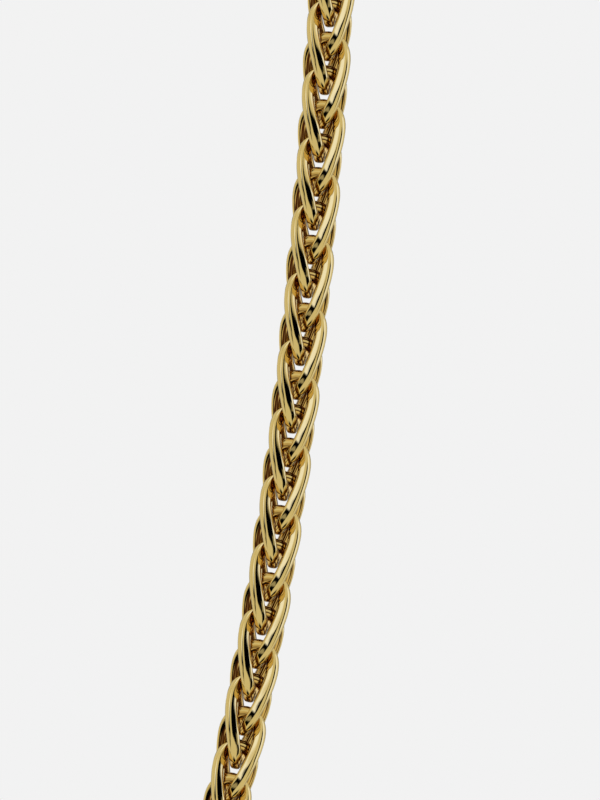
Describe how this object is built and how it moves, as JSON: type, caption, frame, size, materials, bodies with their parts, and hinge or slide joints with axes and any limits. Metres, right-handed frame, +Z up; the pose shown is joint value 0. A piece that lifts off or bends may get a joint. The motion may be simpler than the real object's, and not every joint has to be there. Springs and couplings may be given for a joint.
{
  "type": "wheat chain necklace",
  "caption": "Wheat chain necklace of interlocking quarter-turned oval wire links in polished yellow metal, hanging in its worn form as a closed loop with a plain barrel clasp at the nape.",
  "frame": {"origin": "the nape of the neck: the middle of the clasp's barrel, where it touches the skin", "axes": "+X to the right of someone who faces the necklace's front, which is towards -Y; +Z up, and the chain hangs down to -Z"},
  "size_m": [0.099, 0.0638, 0.1671],
  "materials": {
    "polished_gold": "yellow gold, polished to a mirror"
  },
  "bodies": {
    "root": {"chain_left": "polished_gold", "chain_right": "polished_gold", "end_ring_left": "polished_gold", "end_ring_right": "polished_gold", "clasp": "polished_gold"}
  },
  "joints": []
}
